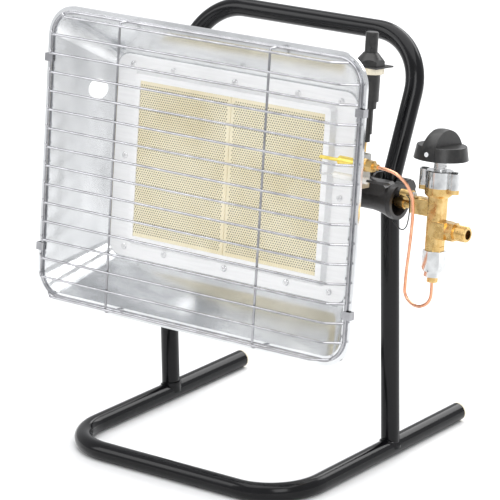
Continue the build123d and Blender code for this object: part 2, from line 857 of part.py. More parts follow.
# Mixing tube: a cast venturi with a flange, a flared air mouth and an arm that holds the valve.
housing_side = chamber_width / 2 + sheet
with BuildPart() as mixing_tube:
    with BuildSketch(Plane(origin=head_point(0, feed_v, feed_n), x_dir=across_dir, z_dir=rise_dir)):
        with BuildLine():
            Polyline(
                (tube_inner_u, throat_bore / 2),
                (tube_inner_u, throat_dia / 2),
                (flare_u, throat_dia / 2),
            )
            flare_top = ThreePointArc(
                (flare_u, throat_dia / 2),
                ((flare_u + flare_end_u) / 2, throat_dia / 2 + (mouth_dia - throat_dia) * 0.16),
                (flare_end_u, mouth_dia / 2),
            )
            Polyline(
                (flare_end_u, mouth_dia / 2),
                (mouth_u, mouth_dia / 2),
                (mouth_u, mouth_bore / 2),
                (flare_u, throat_bore / 2),
                (tube_inner_u, throat_bore / 2),
            )
        make_face()
    revolve(axis=Axis(head_point(0, feed_v, feed_n), across_dir))
    with BuildSketch(crossing(housing_side, feed_v, feed_n)):
        RectangleRounded(tube_flange_tall, tube_flange_deep, 5)
        Circle(throat_bore / 2, mode=Mode.SUBTRACT)
        with GridLocations(tube_screw_pitch, 0, 2, 1):
            Circle(tube_screw_dia / 2 + run_fit, mode=Mode.SUBTRACT)
    extrude(amount=tube_flange_thick)
    arm_start = housing_side + tube_flange_thick
    with BuildSketch(facing(arm_front)):
        with BuildLine():
            Polyline(
                (arm_start, arm_low),
                (arm_start, arm_high),
                (arm_end_u - arm_chamfer, arm_high),
                (arm_end_u, arm_high - arm_chamfer),
                (arm_end_u, arm_low),
                close=True,
            )
        make_face()
    extrude(amount=arm_back - arm_front)
    with BuildSketch(crossing(arm_end_u - arm_chamfer, sleeve_v, sleeve_n)):
        Circle(sleeve_dia / 2)
    extrude(amount=sleeve_end_u - arm_end_u + arm_chamfer)
    with BuildSketch(crossing(tube_inner_u, feed_v, feed_n)):
        Circle(throat_bore / 2)
    extrude(amount=flare_u - tube_inner_u, mode=Mode.SUBTRACT)
    with BuildSketch(crossing(arm_start, feed_v + tube_screw_pitch / 2, feed_n)):
        Circle(tube_screw_dia * 0.95)
    extrude(amount=tube_screw_dia, mode=Mode.SUBTRACT)
    with BuildSketch(crossing(sleeve_end_u, sleeve_v, sleeve_n)):
        Circle(lug_screw_dia / 2 + run_fit)
    extrude(amount=-(lug_screw_grip + 2), mode=Mode.SUBTRACT)
keep(mixing_tube, "mixing_tube")

with BuildPart() as tube_screws:
    with BuildSketch(crossing(arm_start, feed_v, feed_n)):
        with GridLocations(tube_screw_pitch, 0, 2, 1):
            Circle(tube_screw_dia / 2)
    extrude(amount=-tube_screw_length)
    with BuildSketch(crossing(arm_start, feed_v, feed_n)):
        with GridLocations(tube_screw_pitch, 0, 2, 1):
            Circle(tube_screw_dia * 0.9)
    extrude(amount=tube_screw_dia * 0.6)
keep(tube_screws, "tube_screws")

# Injector: its brass holder on the valve's outlet, and the jet screwed into it.
with BuildPart() as injector_holder:
    add(rod(crossing(injector_hex_end, feed_v, feed_n), injector_neck_dia, outlet_face_u - injector_hex_end))
    add(hex_bar(crossing(injector_hex_start, feed_v, feed_n), injector_hex,
                injector_hex_end - injector_hex_start))
    jet_seat_long = 3 + injector_hex_end - injector_hex_start
    add(rod(crossing(injector_hex_start - 3, feed_v, feed_n), jet_dia + 3, jet_seat_long))
    with BuildSketch(crossing(injector_hex_start - 3, feed_v, feed_n)):
        Circle(jet_dia / 2 + run_fit)
    extrude(amount=9, mode=Mode.SUBTRACT)
    with BuildSketch(crossing(outlet_face_u, feed_v, feed_n)):
        Circle(gas_bore / 2)
    extrude(amount=-(outlet_face_u - injector_hex_start), mode=Mode.SUBTRACT)
keep(injector_holder, "injector_holder")

with BuildPart() as injector_jet:
    with BuildSketch(crossing(injector_hex_start + 6, feed_v, feed_n)):
        Circle(jet_dia / 2)
    extrude(amount=-(injector_hex_start + 6 - jet_tip_u))
    chamfer(injector_jet.faces().sort_by(Axis.X)[0].edges(), 1.2)
    with BuildSketch(crossing(jet_tip_u, feed_v, feed_n)):
        Circle(jet_bore / 2)
    extrude(amount=40, mode=Mode.SUBTRACT)
    with BuildSketch(crossing(jet_tip_u + 3, feed_v, feed_n)):
        Circle(jet_dia / 3)
    extrude(amount=40, mode=Mode.SUBTRACT)
keep(injector_jet, "injector_jet")

# Valve body: a brass casting with outlet block, lug, inlet pad and a collar for the bonnet.
column_n = feed_n
with BuildPart() as valve_body:
    with BuildSketch(rising(column_low, valve_u, column_n)):
        RectangleRounded(column_side, column_side, column_round)
    extrude(amount=collar_low - column_low)
    with BuildSketch(rising(column_low, valve_u, column_n)):
        RegularPolygon(column_side / 2 + 0.7, 8, major_radius=False, rotation=22.5)
    extrude(amount=4.5)
    with BuildSketch(rising(collar_low, valve_u, column_n)):
        Circle(collar_dia / 2)
    extrude(amount=collar_high - collar_low)
    collar_foot = at_level(valve_body.edges().filter_by(GeomType.CIRCLE), rise_dir, collar_low)
    chamfer(collar_foot.filter_by(lambda e: e.radius > collar_dia / 2 - 1), 2.4)
    with BuildSketch(rising(ear_low, valve_u, column_n)):
        SlotCenterToCenter(2 * ear_reach, ear_dia)
    extrude(amount=collar_high - ear_low)
    with BuildSketch(crossing(outlet_face_u, (outlet_low + outlet_high) / 2, column_n)):
        RectangleRounded(outlet_high - outlet_low, outlet_deep, 1.5)
    extrude(amount=valve_u - outlet_face_u)
    with BuildSketch(crossing(sleeve_end_u, sleeve_v, sleeve_n)):
        Circle(sleeve_dia / 2)
    extrude(amount=lug_end_u - sleeve_end_u)
    with BuildSketch(crossing(lug_end_u - web_length, web_v, sleeve_n)):
        Rectangle(web_tall, sleeve_dia - 2)
    extrude(amount=web_length + 2)
    with BuildSketch(crossing(valve_u, inlet_v, column_n)):
        RectangleRounded(inlet_pad_tall, inlet_pad_deep, 1.5)
    extrude(amount=inlet_pad_end - valve_u)
    add(rod(rising(spigot_low, valve_u, column_n), spigot_dia, column_low - spigot_low))
    with BuildSketch(rising(plug_low - run_fit, valve_u, column_n)):
        Circle(plug_dia / 2 + run_fit)
    extrude(amount=collar_high - plug_low + 1, mode=Mode.SUBTRACT)
    with BuildSketch(rising(magnet_room_top, valve_u, column_n)):
        Circle(passage_dia / 2)
    extrude(amount=plug_low - magnet_room_top, mode=Mode.SUBTRACT)
    with BuildSketch(rising(spigot_low, valve_u, column_n)):
        Circle(magnet_dia / 2 + run_fit)
    extrude(amount=magnet_room_top - spigot_low, mode=Mode.SUBTRACT)
    with BuildSketch(crossing(outlet_face_u, feed_v, column_n)):
        Circle(gas_bore / 2)
    extrude(amount=valve_u - outlet_face_u, mode=Mode.SUBTRACT)
    with BuildSketch(crossing(valve_u, inlet_v, column_n)):
        Circle(passage_dia / 2)
    extrude(amount=inlet_pad_end - valve_u, mode=Mode.SUBTRACT)
    with BuildSketch(crossing(sleeve_end_u, sleeve_v, sleeve_n)):
        Circle(lug_screw_dia / 2 + run_fit)
    extrude(amount=30, mode=Mode.SUBTRACT)
    with BuildSketch(crossing(lug_end_u, sleeve_v, sleeve_n)):
        Circle(lug_notch_dia / 2)
    extrude(amount=lug_notch, mode=Mode.SUBTRACT)
    with BuildSketch(rising(ear_low - 5, valve_u, column_n)):
        with GridLocations(2 * ear_reach, 0, 2, 1):
            Circle(bonnet_screw_dia / 2 + run_fit)
    extrude(amount=12, mode=Mode.SUBTRACT)
keep(valve_body, "valve_body")

# Lug screw: holds the valve to the arm of the mixing tube.
with BuildPart() as lug_screw:
    with BuildSketch(crossing(lug_end_u, sleeve_v, sleeve_n)):
        Circle(lug_screw_dia / 2)
    extrude(amount=-(lug_end_u - sleeve_end_u + lug_screw_grip))
    with BuildSketch(crossing(lug_end_u, sleeve_v, sleeve_n)):
        Circle(lug_screw_dia * 0.85)
    extrude(amount=lug_screw_head)
    fillet(lug_screw.faces().sort_by(Axis.X)[-1].edges(), 0.8)
keep(lug_screw, "lug_screw")

# Inlet: the union with a hexagon and the male gas thread that the hose screws onto.
with BuildPart() as inlet_nozzle:
    add(hex_bar(crossing(inlet_pad_end, inlet_v, column_n), inlet_hex, inlet_hex_long, turn=30))
    add(rod(crossing(inlet_hex_end, inlet_v, column_n), inlet_neck_dia, inlet_neck_end - inlet_hex_end))
    with BuildSketch(crossing(inlet_neck_end, inlet_v, column_n)):
        Circle(inlet_thread_dia / 2)
    extrude(amount=inlet_end - inlet_neck_end)
    chamfer(inlet_nozzle.faces().sort_by(Axis.X)[-1].edges(), inlet_chamfer)
    with BuildSketch(crossing(inlet_end, inlet_v, column_n)):
        Circle(inlet_bore / 2)
    extrude(amount=-(inlet_end - inlet_hex_end), mode=Mode.SUBTRACT)
    with BuildSketch(crossing(inlet_pad_end, inlet_v, column_n)):
        Circle(passage_dia / 2)
    extrude(amount=inlet_end - inlet_pad_end, mode=Mode.SUBTRACT)
keep(inlet_nozzle, "inlet_nozzle")

# Bonnet: the plated cap that keeps stem and spring in the valve.
with BuildPart() as valve_bonnet:
    with BuildSketch(rising(collar_high, valve_u, column_n)):
        Circle(collar_dia / 2)
        with GridLocations(2 * ear_reach, 0, 2, 1):
            Circle(ear_dia / 2)
        Rectangle(2 * ear_reach, ear_dia * 0.6)
    extrude(amount=bonnet_high - collar_high)
    chamfer(at_level(valve_bonnet.faces(), rise_dir, bonnet_high).edges(), bonnet_edge)
    with BuildSketch(rising(collar_high, valve_u, column_n)):
        Circle(spring_room_dia / 2)
    extrude(amount=spring_room_top - collar_high, mode=Mode.SUBTRACT)
    with BuildSketch(rising(collar_high, valve_u, column_n)):
        Circle(stem_dia / 2 + run_fit)
        with GridLocations(2 * ear_reach, 0, 2, 1):
            Circle(bonnet_screw_dia / 2 + run_fit)
    extrude(amount=bonnet_high, mode=Mode.SUBTRACT)
    with BuildSketch(rising(bonnet_high - bonnet_recess, valve_u, column_n)):
        with GridLocations(2 * ear_reach, 0, 2, 1):
            Circle(bonnet_recess_dia / 2)
    extrude(amount=bonnet_recess * 2, mode=Mode.SUBTRACT)
keep(valve_bonnet, "valve_bonnet")

with BuildPart() as bonnet_screws:
    head_seat = rising(bonnet_high - bonnet_recess, valve_u, column_n)
    with BuildSketch(head_seat):
        with GridLocations(2 * ear_reach, 0, 2, 1):
            Circle(bonnet_screw_head / 2)
    extrude(amount=3)
    with BuildSketch(head_seat):
        with GridLocations(2 * ear_reach, 0, 2, 1):
            Circle(bonnet_screw_dia / 2)
    extrude(amount=-(bonnet_high - bonnet_recess - ear_low))
    with BuildSketch(rising(bonnet_high - bonnet_recess + 3, valve_u, column_n)):
        with GridLocations(2 * ear_reach, 0, 2, 1):
            Rectangle(bonnet_screw_head - 1, 1.0)
    extrude(amount=-1.2, mode=Mode.SUBTRACT)
keep(bonnet_screws, "bonnet_screws")

# Stem: turns the plug by a tang, lifted by the spring until its shoulder meets the bonnet.
shoulder_high = spring_room_top - body_gap
shoulder_low = shoulder_high - shoulder_height
tang_low = shoulder_low - (collar_high - plug_high) - tang_drop
with BuildPart() as valve_stem:
    with BuildSketch(rising(shoulder_low, valve_u, column_n)):
        Circle(stem_dia / 2)
    extrude(amount=stem_top - shoulder_low)
    with BuildSketch(rising(shoulder_low, valve_u, column_n)):
        Circle(shoulder_dia / 2)
    extrude(amount=shoulder_height)
    with BuildSketch(rising(tang_low, valve_u, column_n)):
        Rectangle(plug_dia - 1, tang_width)
    extrude(amount=shoulder_low - tang_low)
    with BuildSketch(crossing(valve_u - stem_dia, stem_hole_v, column_n)):
        Circle(stem_hole_dia / 2)
    extrude(amount=2 * stem_dia, mode=Mode.SUBTRACT)
keep(valve_stem, "valve_stem")

# Plug: the turning part of the tap, slotted for the tang and bored for the gas.
# Its full port faces back when off, and a quarter turn brings it to the outlet. The small port
# on the other side gives the low flame after half a turn.
with BuildPart() as valve_plug:
    with BuildSketch(rising(plug_low, valve_u, column_n)):
        Circle(plug_dia / 2)
    extrude(amount=plug_high - plug_low)
    with BuildSketch(rising(plug_high - slot_depth, valve_u, column_n)):
        Rectangle(2 * plug_dia, slot_width)
    extrude(amount=2 * slot_depth, mode=Mode.SUBTRACT)
    with BuildSketch(rising(plug_low, valve_u, column_n)):
        Circle(pin_dia / 2 + run_fit)
    extrude(amount=plug_high - plug_low, mode=Mode.SUBTRACT)
    with BuildSketch(rising(plug_low, valve_u, column_n)):
        Circle(plug_port / 2)
    extrude(amount=feed_v - plug_low, mode=Mode.SUBTRACT)
    with BuildSketch(facing(column_n, valve_u, feed_v)):
        Circle(plug_port / 2)
    extrude(amount=-plug_dia, mode=Mode.SUBTRACT)
    with BuildSketch(crossing(valve_u, feed_v, column_n)):
        Circle(low_port / 2)
    extrude(amount=plug_dia, mode=Mode.SUBTRACT)
keep(valve_plug, "valve_plug")

# Push pin: passes the push on the knob down to the safety magnet.
pin_high = tang_low - run_fit
with BuildPart() as push_pin:
    with BuildSketch(rising(pin_low, valve_u, column_n)):
        Circle(pin_dia / 2)
    extrude(amount=pin_high - pin_low)
    chamfer(at_level(push_pin.faces(), rise_dir, pin_high).edges(), 0.4)
keep(push_pin, "push_pin")


def coil_spring(name, low, high, mean_dia, wire, turns, u, n):
    # One wire that climbs at a steady rate between two levels.
    radius = mean_dia / 2
    start = low + wire / 2
    climb = (high - low - wire) / turns
    with BuildPart() as coil:
        with BuildLine() as coil_path:
            Helix(climb, climb * turns, radius, center=head_point(u, start, n), direction=rise_dir)
        begin = coil_path.wires()[0] @ 0
        way = coil_path.wires()[0] % 0
        with BuildSketch(Plane(origin=begin, z_dir=way)):
            Circle(wire / 2)
        sweep(path=coil_path.wires()[0], is_frenet=True)
    print(name, "turns", turns, "gap between turns", round(climb - wire, 2))
    keep(coil, name)
    return coil


stem_spring = coil_spring(
    "stem_spring", collar_high + 0.1, shoulder_low - 0.1, 15.4, 0.9, 3, valve_u, column_n
)


# Knob: a flared cup with a domed grip across it, hollow below.
def knob_level(height):
    return knob_low + height


with BuildPart(mode=Mode.PRIVATE) as knob_cup_part:
    with BuildSketch(rising(knob_low, valve_u, column_n)):
        Circle(knob_low_dia / 2)
    with BuildSketch(rising(knob_level(knob_cup), valve_u, column_n)):
        Circle(knob_cup_dia / 2)
    loft()
    fillet(at_level(knob_cup_part.faces(), rise_dir, knob_level(knob_cup)).edges(), knob_edge)

with BuildPart() as gas_knob:
    with BuildSketch(rising(knob_level(knob_dome_centre), valve_u, column_n)):
        Rectangle(knob_grip, 2.2 * knob_dome_radius)
    extrude(amount=1.2 * knob_dome_radius, taper=knob_grip_draft)
    dome = Sphere(knob_dome_radius, mode=Mode.PRIVATE)
    dome_centre = head_point(valve_u, knob_level(knob_dome_centre), column_n)
    add(dome.moved(Location(dome_centre)), mode=Mode.INTERSECT)
    add(knob_cup_part.part)
    with BuildSketch(rising(knob_low, valve_u, column_n)):
        Circle(knob_cup_dia / 2 - knob_wall)
        Circle(knob_hub_dia / 2, mode=Mode.SUBTRACT)
    extrude(amount=knob_cup - knob_wall, mode=Mode.SUBTRACT)
    with BuildSketch(rising(knob_low, valve_u, column_n)):
        Circle(stem_dia / 2)
    extrude(amount=stem_top - knob_low, mode=Mode.SUBTRACT)
    dot_rise = knob_dot_v - knob_level(knob_dome_centre)
    dot_face = column_n + sqrt(knob_dome_radius**2 - dot_rise**2)
    with BuildSketch(facing(dot_face - 1.5, valve_u, knob_dot_v)):
        Circle(knob_dot_dia / 2)
    extrude(amount=4, mode=Mode.SUBTRACT)
keep(gas_knob, "gas_knob")

with BuildPart() as knob_dot:
    with BuildSketch(facing(dot_face - 1.5, valve_u, knob_dot_v)):
        Circle(knob_dot_dia / 2)
    extrude(amount=1.5 + knob_dot_proud)
    chamfer(at_level(knob_dot.faces(), out_dir, dot_face + knob_dot_proud).edges(), 0.3)
keep(knob_dot, "knob_dot")

# Safety magnet in the foot of the valve, with the plated nut that holds it.
nut_room_low = magnet_low
with BuildPart() as magnet_unit:
    with BuildSketch(rising(magnet_low, valve_u, column_n)):
        Circle(magnet_dia / 2)
    extrude(amount=magnet_room_top - 1.5 - magnet_low)
    with BuildSketch(rising(magnet_low, valve_u, column_n)):
        Circle(magnet_stud_dia / 2)
    extrude(amount=magnet_tail_low + 1 - magnet_low)
    with BuildSketch(rising(magnet_tail_low, valve_u, column_n)):
        Circle(copper_dia / 2 + run_fit)
    extrude(amount=6, mode=Mode.SUBTRACT)
keep(magnet_unit, "magnet_unit")

with BuildPart() as magnet_nut:
    add(
        hex_bar(rising(magnet_nut_low, valve_u, column_n), magnet_nut_hex, column_low - magnet_nut_low,
                turn=30, edge=1.6)
    )
    tail_long = magnet_nut_low - magnet_tail_low
    add(hex_bar(rising(magnet_tail_low, valve_u, column_n), magnet_tail_hex, tail_long, turn=30))
    with BuildSketch(rising(nut_room_low, valve_u, column_n)):
        Circle(spigot_dia / 2 + run_fit)
    extrude(amount=column_low - nut_room_low, mode=Mode.SUBTRACT)
    with BuildSketch(rising(magnet_tail_low, valve_u, column_n)):
        Circle(magnet_stud_dia / 2 + run_fit)
    extrude(amount=nut_room_low - magnet_tail_low, mode=Mode.SUBTRACT)
keep(magnet_nut, "magnet_nut")

with BuildPart() as capillary_nut:
    add(hex_bar(rising(cap_nut_low, valve_u, column_n), cap_nut_hex, magnet_tail_low - cap_nut_low,
                turn=30, bore=copper_dia + 2 * run_fit))
keep(capillary_nut, "capillary_nut")

# Bracket for the probes: an angle welded to the outside of the pan's right wall.
bracket_low = electrode_v - bracket_margin
bracket_high = probe_v + bracket_margin
with BuildPart() as probe_bracket:
    with BuildSketch(rising(bracket_low)):
        with BuildLine():
            Polyline(
                (bracket_u + bracket_sheet, -bracket_front),
                (bracket_u + bracket_sheet, -bracket_back),
                (wall_u(bracket_back) - 4, -bracket_back),
                (wall_u(bracket_back) - 4, -bracket_back - bracket_sheet),
                (bracket_u, -bracket_back - bracket_sheet),
                (bracket_u, -bracket_front),
                close=True,
            )
        make_face()
    extrude(amount=bracket_high - bracket_low)
    add(pan_outside.part, mode=Mode.SUBTRACT)
    with BuildSketch(crossing(bracket_u - 3, 0, probe_n)):
        with Locations((probe_v, 0)):
            Circle(probe_thread_dia / 2 + run_fit)
        with Locations((electrode_v, 0)):
            Circle(electrode_dia / 2 + run_fit)
    extrude(amount=9, mode=Mode.SUBTRACT)
keep(probe_bracket, "probe_bracket")

# Thermocouple: a tip in front of the plaque, on a threaded body with its hexagon.
with BuildPart() as thermocouple:
    with BuildSketch(crossing(probe_tip_u, probe_v, probe_n)):
        Circle(probe_rod_dia / 2)
    extrude(amount=probe_body_u - probe_tip_u)
    fillet(thermocouple.faces().sort_by(Axis.X)[0].edges(), probe_rod_dia * 0.4)
    with BuildSketch(crossing(probe_body_u, probe_v, probe_n)):
        Circle(probe_body_dia / 2)
    extrude(amount=probe_hex_u - probe_body_u)
    chamfer(
        thermocouple.edges().filter_by(GeomType.CIRCLE).filter_by(
            lambda e: abs(e.center().X - probe_body_u) < 0.1 and e.radius > probe_rod_dia
        ),
        1.5,
    )
    add(hex_bar(crossing(probe_hex_u, probe_v, probe_n), probe_hex, bracket_u - probe_hex_u))
    with BuildSketch(crossing(bracket_u, probe_v, probe_n)):
        Circle(probe_thread_dia / 2)
    extrude(amount=probe_nut_end - bracket_u - 2)
    with BuildSketch(crossing(probe_nut_end + 2, probe_v, probe_n)):
        Circle(copper_dia / 2 + run_fit)
    extrude(amount=-10, mode=Mode.SUBTRACT)
keep(thermocouple, "thermocouple")

with BuildPart() as probe_nuts:
    nut_bore = probe_thread_dia + 2 * run_fit
    nut_start = bracket_u + bracket_sheet
    add(hex_bar(crossing(nut_start, probe_v, probe_n), lock_nut_hex, lock_nut_end - nut_start - run_fit,
                bore=nut_bore, edge=0.8))
    add(hex_bar(crossing(lock_nut_end, probe_v, probe_n), probe_nut_hex, probe_nut_end - lock_nut_end,
                bore=nut_bore, turn=30))
    with BuildSketch(crossing(probe_nut_end - 2, probe_v, probe_n)):
        Circle(nut_bore / 2 + 0.4)
        Circle(copper_dia / 2 + run_fit, mode=Mode.SUBTRACT)
    extrude(amount=2)
    with BuildSketch(crossing(probe_nut_end, probe_v, probe_n)):
        Circle(ferrule_dia / 2)
        Circle(copper_dia / 2 + run_fit, mode=Mode.SUBTRACT)
    extrude(amount=ferrule_end - probe_nut_end)
keep(probe_nuts, "probe_nuts")

# Electrode: a ceramic tube with its collar, and the bent spark wire out of its end.
with BuildPart() as electrode_ceramic:
    with BuildSketch(crossing(electrode_front, electrode_v, probe_n)):
        Circle(electrode_dia / 2)
        Circle(wire_probe_dia / 2 + run_fit, mode=Mode.SUBTRACT)
    extrude(amount=electrode_back - electrode_front)
    with BuildSketch(crossing(bracket_u - 6, electrode_v, probe_n)):
        Circle(electrode_collar_dia / 2)
        Circle(electrode_dia / 2 - 1, mode=Mode.SUBTRACT)
    extrude(amount=6)
    fillet(electrode_ceramic.faces().sort_by(Axis.X)[0].outer_wire().edges(), 1.0)
keep(electrode_ceramic, "electrode_ceramic")

with BuildPart() as electrode_wire:
    with BuildLine() as spark_path:
        FilletPolyline(
            head_point(electrode_back - 4, electrode_v, probe_n),
            head_point(electrode_front - 6, electrode_v, probe_n),
            head_point(128.0, electrode_v - 2.0, probe_n - 1.0),
            head_point(121.0, electrode_v + 6.5, probe_n - 12.0),
            radius=[8.0, 4.0],
        )
    with BuildSketch(crossing(electrode_back - 4, electrode_v, probe_n)):
        Circle(wire_probe_dia / 2)
    sweep(path=spark_path.wires()[0])
keep(electrode_wire, "electrode_wire")


def bent_tube(name, diameter, points, fit_ends=True):
    # Straight runs joined by arcs as large as the runs beside them allow.
    runs = [(b - a).length for a, b in zip(points, points[1:])]
    radii = []
    for i in range(1, len(points) - 1):
        turn = (points[i] - points[i - 1]).get_angle(points[i + 1] - points[i])
        radii.append(0.45 * min(runs[i - 1], runs[i]) / tan(radians(turn) / 2))
    with BuildPart() as tube:
        with BuildLine() as tube_path:
            FilletPolyline(*points, radius=radii)
        way = tube_path.wires()[0]
        with BuildSketch(Plane(origin=way @ 0, z_dir=way % 0)):
            Circle(diameter / 2)
        sweep(path=way)
    share = tube.part.volume / (pi * diameter**2 / 4 * way.length)
    print(name, "length", round(way.length, 1), "volume ratio", round(share, 4),
          "radii", [round(r, 1) for r in radii])
    keep(tube, name)
    return tube


# Copper lead: from the thermocouple down past the valve and up into its foot.
capillary = bent_tube(
    "capillary",
    copper_dia,
    [
        head_point(probe_nut_end - 3, probe_v, probe_n),
        head_point(204.0, probe_v, probe_n),
        head_point(216.0, 39.6, -33.0),
        head_point(223.5, 31.0, -39.0),
        head_point(226.0, 18.0, -47.0),
        head_point(222.5, 4.0, -55.0),
        head_point(216.0, -14.0, -65.0),
        head_point(209.5, -40.0, -73.0),
        head_point(203.0, -66.0, -80.0),
        head_point(valve_u - copper_loop, -90.5, column_n),
        head_point(valve_u - copper_loop / 2, -99.4, column_n),
        head_point(valve_u, -90.5, column_n),
        head_point(valve_u, magnet_tail_low + 1.5, column_n),
    ],
)

# Ignition lead: from the foot of the igniter round to the back of the electrode.
ignition_lead = bent_tube(
    "ignition_lead",
    lead_dia,
    [
        head_point(igniter_u, terminal_low, igniter_n),
        head_point(igniter_u, 37.0, igniter_n),
        head_point(155.0, 28.0, -69.0),
        head_point(166.0, 22.5, -65.0),
        head_point(180.0, 21.5, -57.0),
        head_point(192.0, 23.5, -51.0),
        head_point(200.0, 25.5, -45.0),
        head_point(201.0, 27.5, -37.5),
        head_point(194.0, electrode_v, probe_n),
        head_point(electrode_back, electrode_v, probe_n),
    ],
)

# Earth lead: the thin bond from the valve lug round to the underside of the mixing tube.
earth_lead = bent_tube(
    "earth_lead",
    earth_dia,
    [
        head_point(lug_end_u - 4, sleeve_v, sleeve_n + sleeve_dia / 2 + 2 * body_gap),
        head_point(206.0, 10.0, -72.5),
        head_point(208.5, 3.0, -70.0),
        head_point(209.0, -8.0, -69.0),
        head_point(206.5, -18.0, -70.0),
        head_point(200.0, -23.0, -73.0),
        head_point(191.0, -21.5, -77.0),
        head_point(184.5, -18.6, -80.5),
        head_point(180.5, feed_v - mouth_dia / 2 - earth_dia / 2, -84.0),
    ],
)

# Igniter bracket: an angle riveted behind the pan, with the hole for the igniter.
with BuildPart() as igniter_bracket:
    tab_face = housing_face - sheet
    tab_centre_u = (tab_left + tab_right) / 2
    with BuildSketch(facing(tab_face)):
        with Locations((tab_centre_u, (tab_low + plate_low + plate_thick) / 2)):
            Rectangle(tab_right - tab_left, plate_low + plate_thick - tab_low)
    extrude(amount=-plate_thick)
    with BuildSketch(rising(plate_low)):
        with Locations(((tab_left + plate_right) / 2, -(tab_face + plate_back) / 2)):
            Rectangle(plate_right - tab_left, tab_face - plate_back)
    extrude(amount=plate_thick)
    with BuildSketch(rising(plate_low, igniter_u, igniter_n)):
        Circle(neck_dia / 2 + run_fit)
    extrude(amount=plate_thick, mode=Mode.SUBTRACT)
    with BuildSketch(facing(tab_face, rivet_u[-1], rivet_v)):
        Circle(rivet_dia / 2 + run_fit)
    extrude(amount=-2 * plate_thick, mode=Mode.SUBTRACT)
keep(igniter_bracket, "igniter_bracket")

# Igniter body: a moulded barrel that steps down to its terminal, bored for button and spring.
plate_high = plate_low + plate_thick
nut_low = plate_low - igniter_nut_thick
with BuildPart() as igniter_body:
    with BuildSketch(rising(nut_low, igniter_u, igniter_n)):
        Circle(neck_dia / 2)
    extrude(amount=plate_high + collar_band - nut_low)
    with BuildSketch(rising(nut_low, igniter_u, igniter_n)):
        Circle(body_dia / 2)
    extrude(amount=step_levels[0] - nut_low)
    for top, bottom, dia in zip(step_levels, step_levels[1:], step_dias):
        with BuildSketch(rising(top, igniter_u, igniter_n)):
            Circle(dia / 2)
        extrude(amount=bottom - top)
    with BuildSketch(rising(igniter_bore_low, igniter_u, igniter_n)):
        Circle(button_dia / 2 + run_fit)
    extrude(amount=plate_high + collar_rise - igniter_bore_low, mode=Mode.SUBTRACT)
    with BuildSketch(rising(step_levels[-1], igniter_u, igniter_n)):
        Circle(terminal_dia / 4)
    extrude(amount=4, mode=Mode.SUBTRACT)
keep(igniter_body, "igniter_body")

with BuildPart() as igniter_terminal:
    with BuildSketch(rising(terminal_low, igniter_u, igniter_n)):
        Circle(terminal_dia / 2)
    extrude(amount=step_levels[-1] - terminal_low)
    with BuildSketch(rising(step_levels[-1], igniter_u, igniter_n)):
        Circle(terminal_dia / 4)
    extrude(amount=4)
keep(igniter_terminal, "igniter_terminal")

# Igniter collar: a hexagonal ring nut with a conical top, above the bracket.
with BuildPart() as igniter_collar:
    with BuildSketch(rising(plate_high, igniter_u, igniter_n)):
        RegularPolygon(collar_hex / 2, 6, major_radius=False, rotation=30)
    extrude(amount=collar_rise)
    cone_plane = Plane(origin=head_point(igniter_u, plate_high, igniter_n), x_dir=across_dir, z_dir=-out_dir)
    with BuildSketch(cone_plane):
        with BuildLine():
            Polyline(
                (0, 0),
                (collar_hex / sqrt(3), 0),
                (collar_hex / sqrt(3), -collar_band),
                (collar_top_dia / 2, -collar_rise),
                (0, -collar_rise),
                close=True,
            )
        make_face()
    revolve(axis=Axis(head_point(igniter_u, plate_high, igniter_n), rise_dir), mode=Mode.INTERSECT)
    with BuildSketch(rising(plate_high, igniter_u, igniter_n)):
        Circle(neck_dia / 2 + run_fit)
    extrude(amount=collar_band + body_gap, mode=Mode.SUBTRACT)
    with BuildSketch(rising(plate_high, igniter_u, igniter_n)):
        Circle(button_dia / 2 + run_fit)
    extrude(amount=collar_rise, mode=Mode.SUBTRACT)
keep(igniter_collar, "igniter_collar")

with BuildPart() as igniter_nut:
    with BuildSketch(rising(nut_low, igniter_u, igniter_n)):
        RegularPolygon(igniter_nut_dia / 2, 12)
        Circle(neck_dia / 2 + run_fit, mode=Mode.SUBTRACT)
    extrude(amount=igniter_nut_thick)
keep(igniter_nut, "igniter_nut")

with BuildPart() as igniter_button:
    with BuildSketch(rising(button_low, igniter_u, igniter_n)):
        Circle(button_dia / 2)
    extrude(amount=button_top - button_low)
    fillet(at_level(igniter_button.faces(), rise_dir, button_top).edges(), button_edge)
keep(igniter_button, "igniter_button")

igniter_spring = coil_spring(
    "igniter_spring", igniter_bore_low + 0.1, button_low - 0.1, 10.0, 1.0, 6, igniter_u, igniter_n
)

# Every piece moves by the same step, so that the heater stands with its box centred on the origin.
whole = Compound(children=[Compound(piece.part.solids()) for piece in pieces]).bounding_box()
stand_centre = Location((-whole.center().X, -whole.center().Y, -whole.min.Z))
for piece in pieces:
    shape = piece.part.moved(stand_centre)
    shape.label = piece.part.label
    export_step(shape, f"parts/{shape.label}.step")
print("size", whole.size, "step", -whole.center().X, -whole.center().Y, -whole.min.Z)
print("pivot v", round(pivot_v, 2), "n", round(pivot_n, 2), "pieces", len(pieces))
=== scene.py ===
import json
import math

import bpy
from mathutils import Matrix, Vector


